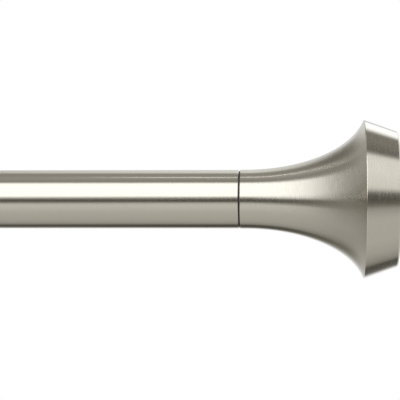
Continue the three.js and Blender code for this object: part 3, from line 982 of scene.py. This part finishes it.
def make_thumbscrew(node, body, shank, bearing, direction):
    start = bearing + direction * (TIP_LENGTH + SEAT)
    under_head = start + direction * shank
    core = HEAD_RADIUS - KNURL_DEPTH
    head = [
        (-RELIEF_DEPTH, 0, 0),
        (-RELIEF_DEPTH, RELIEF_RADIUS, 0),
        (0, RELIEF_RADIUS, 0.1 * MM),
        (0, HEAD_RADIUS - HEAD_CHAMFER, 0.15 * MM),
        (HEAD_CHAMFER, core, 0.1 * MM),
        (HEAD_LENGTH - HEAD_CHAMFER, core, 0.1 * MM),
        (HEAD_LENGTH, HEAD_RADIUS - HEAD_CHAMFER, 0.2 * MM),
        (HEAD_LENGTH, DISH_RIM, 0.3 * MM),
        (HEAD_LENGTH - DISH_DEPTH, DISH_FLOOR, 0.3 * MM),
        (HEAD_LENGTH - DISH_DEPTH, 0, 0),
    ]
    thread_sizes = {"Radius": SCREW_RADIUS, "Length": shank, "Pitch": SCREW_PITCH, "Facets": SCREW_FACETS}
    parts = [
        turned("head", head, under_head, direction, HEAD_FACETS, closed=False),
        grown("ridges", knurl, KNURL_SIZES, under_head, direction),
        grown("thread", screw_thread, thread_sizes, start, direction),
    ]
    screw = joined(node + "_turning", parts)
    finish(screw, screw_nickel, body, "brushed_nickel", node)


screw_nickel = brushed_nickel("brushed_nickel_screw", roughness=0.26, strokes=2, slant=1)
knurl = knurl_tree(screw_nickel)
screw_thread = thread_tree(screw_nickel)
bearings = {}
for side in SIDES:
    arm_low, arm_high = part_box(side + "_arm")
    arm_x = (arm_low.x + arm_high.x) / 2
    on_arm = Vector((arm_x, -ARM_SCREW_AT, rod_axis.z - ARM_RADIUS - SLIDE_FIT))
    on_rod = Vector((arm_x, rod_axis.y, rod_axis.z)) + SCREW_OUT * (tube_radius + SLIDE_FIT)
    bearings[side + "_arm"] = (on_arm, DOWN, ARM_SCREW_SHANK)
    bearings[side + "_rod"] = (on_rod, SCREW_OUT, ROD_SCREW_SHANK)

for place, (bearing, direction, shank) in bearings.items():
    make_thumbscrew(place + "_thumbscrew", place + "_screw", shank, bearing, direction)


# ---- Thumbscrew tips ----
# A natural nylon pad on the end of each thumbscrew. It moves in and out with the screw but doesn't turn with
# it, so that the plating isn't marked.

TIP_RADIUS = 1.6 * MM
TIP_FACETS = 40

for place, (bearing, direction, shank) in bearings.items():
    outline = [(0, 0, 0), (0, TIP_RADIUS, 0.35 * MM), (TIP_LENGTH, TIP_RADIUS, 0.1 * MM), (TIP_LENGTH, 0, 0)]
    tip = turned(place + "_screw_pad", outline, bearing, direction, TIP_FACETS, closed=False)
    finish(tip, nylon, place + "_screw_tip", "nylon", place + "_thumbscrew_tip")


# ---- Studio ----
# A plain pale floor well below the rod, and the soft studio: walls of light and dark cards that the nickel
# mirrors, drawn as the world, a softbox overhead and one long thin lamp above the rod.

FLOOR_DROP = 0.5
FLOOR_SIZE = 3.0
FLOOR_DARK = (0.80, 0.80, 0.79, 1)
FLOOR_PALE = (0.84, 0.84, 0.83, 1)
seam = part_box("right_finial_shell")[0].x

floor_points = [
    (seam + FLOOR_SIZE / 2 * x, rod_axis.y + FLOOR_SIZE / 2 * y, rod_axis.z - FLOOR_DROP)
    for x, y in ((-1, -1), (1, -1), (1, 1), (-1, 1))
]
floor_mesh = bpy.data.meshes.new("studio_floor")
floor_mesh.from_pydata(floor_points, [], [(0, 1, 2, 3)])
floor = shown("studio_floor", floor_mesh)
floor_paint, floor_tree, floor_shader = blank_material("pale_floor")
floor_place = add(floor_tree, "ShaderNodeTexCoord").outputs["Object"]
floor_clouds = {"Vector": floor_place, "Scale": 3, "Detail": 4}
floor_cloud = add(floor_tree, "ShaderNodeTexNoise", floor_clouds).outputs[0]
floor_colour = tinted(floor_tree, floor_cloud, FLOOR_DARK, FLOOR_PALE)
floor_tree.links.new(floor_colour, floor_shader.inputs["Base Color"])
floor_shader.inputs["Roughness"].default_value = 0.9
floor.data.materials.append(floor_paint)
floor.visible_glossy = False

# The cards stand in a drum round the rod. A card's place is the tilt, in degrees above the horizontal, of
# the piece of rod that mirrors it to the front, and its shade is how bright the nickel then looks.
FRONT_CARDS = [
    (-90, 0.93), (-80, 0.93), (-74.5, 0.64), (-70, 0.29), (-66, 0.26), (-60, 0.26), (-57.4, 0.46),
    (-53.5, 0.57), (-49, 0.605), (-45, 0.63), (-35, 0.65), (-25, 0.67), (-15, 0.735), (-10, 0.76),
    (-6.4, 0.78), (-5.2, 0.55), (-4.2, 0.28), (0, 0.27), (4.0, 0.31), (5.3, 0.60), (6.1, 1.12),
    (30, 1.12), (33.6, 1.12), (35.4, 0.53), (38, 0.50), (44, 0.57), (50, 0.56), (60, 0.53),
    (63.5, 0.72), (67, 0.80), (74, 0.79), (90, 0.80),
]
RIGHT_CARDS = [
    (-90, 0.92), (-79, 0.89), (-73, 0.50), (-69, 0.32), (-60, 0.22), (-57.5, 0.40), (-54, 0.50),
    (-45, 0.60), (-32, 0.65), (-15, 0.64), (-8, 0.54), (-4, 0.37), (-1, 0.26), (4, 0.26),
    (6, 0.44), (8.5, 0.71), (22, 0.765), (33.6, 0.765), (35.8, 0.52), (38, 0.27), (47, 0.37),
    (57, 0.40), (59, 0.52), (61.8, 0.92), (66, 1.10), (73, 1.10), (79, 0.78), (90, 0.74),
]
FAR_RIGHT_CARDS = [
    (-90, 0.90), (-30, 0.75), (-5, 0.66), (0, 0.60), (5, 0.72), (20, 0.90), (90, 0.90),
]
NEAR_LEFT_CARDS = [
    (-90, 0.90), (-80, 0.86), (-72, 0.62), (-66, 0.45), (-60, 0.36), (-55, 0.42), (-50, 0.50),
    (-45, 0.54), (-30, 0.58), (-20, 0.55), (-14, 0.51), (-9, 0.47), (-4, 0.48), (0, 0.48),
    (5, 0.46), (10, 0.51), (28, 0.50), (34, 0.45), (44, 0.47), (50, 0.36), (58, 0.32),
    (65, 0.32), (70, 0.53), (76, 0.78), (90, 0.85),
]
FAR_LEFT_CARDS = [
    (-90, 0.78), (-80, 0.77), (-66, 0.70), (-55, 0.64), (-40, 0.565), (-20, 0.53), (-9, 0.47),
    (-6, 0.36), (-2, 0.10), (4, 0.10), (8, 0.38), (15, 0.50), (35, 0.58), (50, 0.62),
    (60, 0.76), (67, 0.86), (90, 0.82),
]
# The side walls, each with the two angles, in degrees to the left, between which it takes over.
SIDE_WALLS = [
    (12, 26, NEAR_LEFT_CARDS),
    (36, 52, FAR_LEFT_CARDS),
    (-6, -14, RIGHT_CARDS),
    (-32, -42, FAR_RIGHT_CARDS),
]
CARD_LEAN = 0.38  # how much lower the front cards hang for each radian round to the left
CARD_PEAK = 4.0  # the world's strength, so that a card's ramp stays between 0 and 1
DARK_SHADE = 0.55  # cards darker than this turn warm, fully so over the next DARK_FADE
DARK_FADE = 0.2
DARK_TINT = (0.03, -0.10)  # how much redder and bluer a dark card is
BRIGHT_SHADE = 0.65  # cards brighter than this turn cool, fully so over the next BRIGHT_FADE
BRIGHT_FADE = 0.3
BRIGHT_TINT = (-0.03, 0.07)


def card_light(tilt, shade):
    """How bright a card is, for the nickel that mirrors it to have that shade.

    The shade is taken out of the screen's own curve, and nickel mirrors more of what it sees at a slant.
    """
    wanted = ((shade + 0.055) / 1.055) ** 2.4
    mirrored = NICKEL[1] + (1 - NICKEL[1]) * (1 - math.cos(math.radians(tilt))) ** 5
    return wanted / mirrored


world = bpy.data.worlds.new("studio")
bpy.context.scene.world = world
world.use_nodes = True
sky = world.node_tree
sky.nodes.clear()
ray = add(sky, "ShaderNodeTexCoord").outputs["Generated"]
half = add(sky, "ShaderNodeVectorMath", {0: ray, 1: (0, -1, 0)}, operation="ADD")
half = add(sky, "ShaderNodeVectorMath", {0: half.outputs[0]}, operation="NORMALIZE")
half = add(sky, "ShaderNodeSeparateXYZ", {0: half.outputs[0]})
forward = calc(sky, "MULTIPLY", half.outputs["Y"], -1)
to_left = calc(sky, "ARCSINE", calc(sky, "MULTIPLY", half.outputs["X"], -1))
lean = calc(sky, "MULTIPLY", calc(sky, "MAXIMUM", to_left, 0), calc(sky, "POWER", forward, 2))
tilt = calc(sky, "ARCTAN2", half.outputs["Z"], forward)
leaning_tilt = calc(sky, "MULTIPLY_ADD", lean, CARD_LEAN, tilt)


def card_wall(cards, tilt):
    """One wall's cards as a colour ramp over the tilt."""
    ramp = add(sky, "ShaderNodeValToRGB", {0: calc(sky, "MULTIPLY_ADD", tilt, 1 / math.pi, 0.5)})
    stops = ramp.color_ramp.elements
    for i, (angle, shade) in enumerate(cards):
        stop = stops[i] if i < 2 else stops.new(1)
        stop.position = 0.5 + angle / 180
        light = card_light(angle, shade) / CARD_PEAK
        dark = min(1, max(0, (DARK_SHADE - shade) / DARK_FADE))
        bright = min(1, max(0, (shade - BRIGHT_SHADE) / BRIGHT_FADE))
        redder = DARK_TINT[0] * dark + BRIGHT_TINT[0] * bright
        bluer = DARK_TINT[1] * dark + BRIGHT_TINT[1] * bright
        stop.color = (light * (1 + redder), light, light * (1 + bluer), 1)
    return ramp.outputs["Color"]


def between(start, end):
    """How far round the studio's corner a direction is, from one angle to another."""
    limits = {"Value": to_left, 1: math.radians(start), 2: math.radians(end)}
    return add(sky, "ShaderNodeMapRange", limits, interpolation_type="SMOOTHSTEP").outputs[0]


walls = card_wall(FRONT_CARDS, leaning_tilt)
for start, end, cards in SIDE_WALLS:
    walls = tinted(sky, between(start, end), walls, card_wall(cards, tilt))
mirrored_walls = add(sky, "ShaderNodeBackground", {"Color": walls, "Strength": CARD_PEAK})
backdrop = add(sky, "ShaderNodeBackground", {"Color": (1, 1, 1, 1), "Strength": 1})
to_camera = add(sky, "ShaderNodeLightPath").outputs["Is Camera Ray"]
both = {0: to_camera, 1: mirrored_walls.outputs[0], 2: backdrop.outputs[0]}
studio = add(sky, "ShaderNodeMixShader", both)
add(sky, "ShaderNodeOutputWorld", {0: studio.outputs[0]})

SOFTBOX_HEIGHT = 1.6
SOFTBOX_SIZE = 2.5
SOFTBOX_POWER = 22
softbox_data = bpy.data.lights.new("overhead_softbox", "AREA")
softbox_data.size = SOFTBOX_SIZE
softbox_data.energy = SOFTBOX_POWER
softbox = bpy.data.objects.new("overhead_softbox", softbox_data)
bpy.context.scene.collection.objects.link(softbox)
softbox.location = (seam, rod_axis.y, SOFTBOX_HEIGHT)
softbox.visible_camera = False
softbox.visible_glossy = False

LAMP_WIDTH = 0.003
LAMP_LENGTH = 0.10
LAMP_HEIGHT = 0.128  # above the rod's axis
LAMP_BEHIND = 0.005
LAMP_START = 0.065  # how far left of the seam it begins
LAMP_POWER = 0.0024
lamp_data = bpy.data.lights.new("thin_lamp", "AREA")
lamp_data.shape = "RECTANGLE"
lamp_data.size = LAMP_LENGTH
lamp_data.size_y = LAMP_WIDTH
lamp_data.energy = LAMP_POWER
lamp = bpy.data.objects.new("thin_lamp", lamp_data)
bpy.context.scene.collection.objects.link(lamp)
lamp_from_rod = Vector((LAMP_LENGTH / 2 - LAMP_START, LAMP_BEHIND, LAMP_HEIGHT))
lamp.location = Vector((seam, rod_axis.y, rod_axis.z)) + lamp_from_rod
lamp.visible_camera = False


# ---- Camera ----
# A long lens level with the rod, a little to the right of the seam between rod and finial, and turned
# slightly to the left.

CAMERA_DISTANCE = 0.6933
CAMERA_ASIDE = 0.0237
CAMERA_DROP = 0.0003
CAMERA_TURN = math.radians(3.4)
CAMERA_LENS = 144  # millimetres, on a sensor this wide
CAMERA_SENSOR = 36
CAMERA_NEAR = 0.01
camera_data = bpy.data.cameras.new("camera")
camera_data.lens = CAMERA_LENS
camera_data.sensor_width = CAMERA_SENSOR
camera_data.clip_start = CAMERA_NEAR
camera = bpy.data.objects.new("camera", camera_data)
bpy.context.scene.collection.objects.link(camera)
camera.location = (seam + CAMERA_ASIDE, rod_axis.y - CAMERA_DISTANCE, rod_axis.z - CAMERA_DROP)
camera.rotation_euler = (math.pi / 2, 0, CAMERA_TURN)
bpy.context.scene.camera = camera
bpy.context.scene.view_settings.view_transform = "Standard"
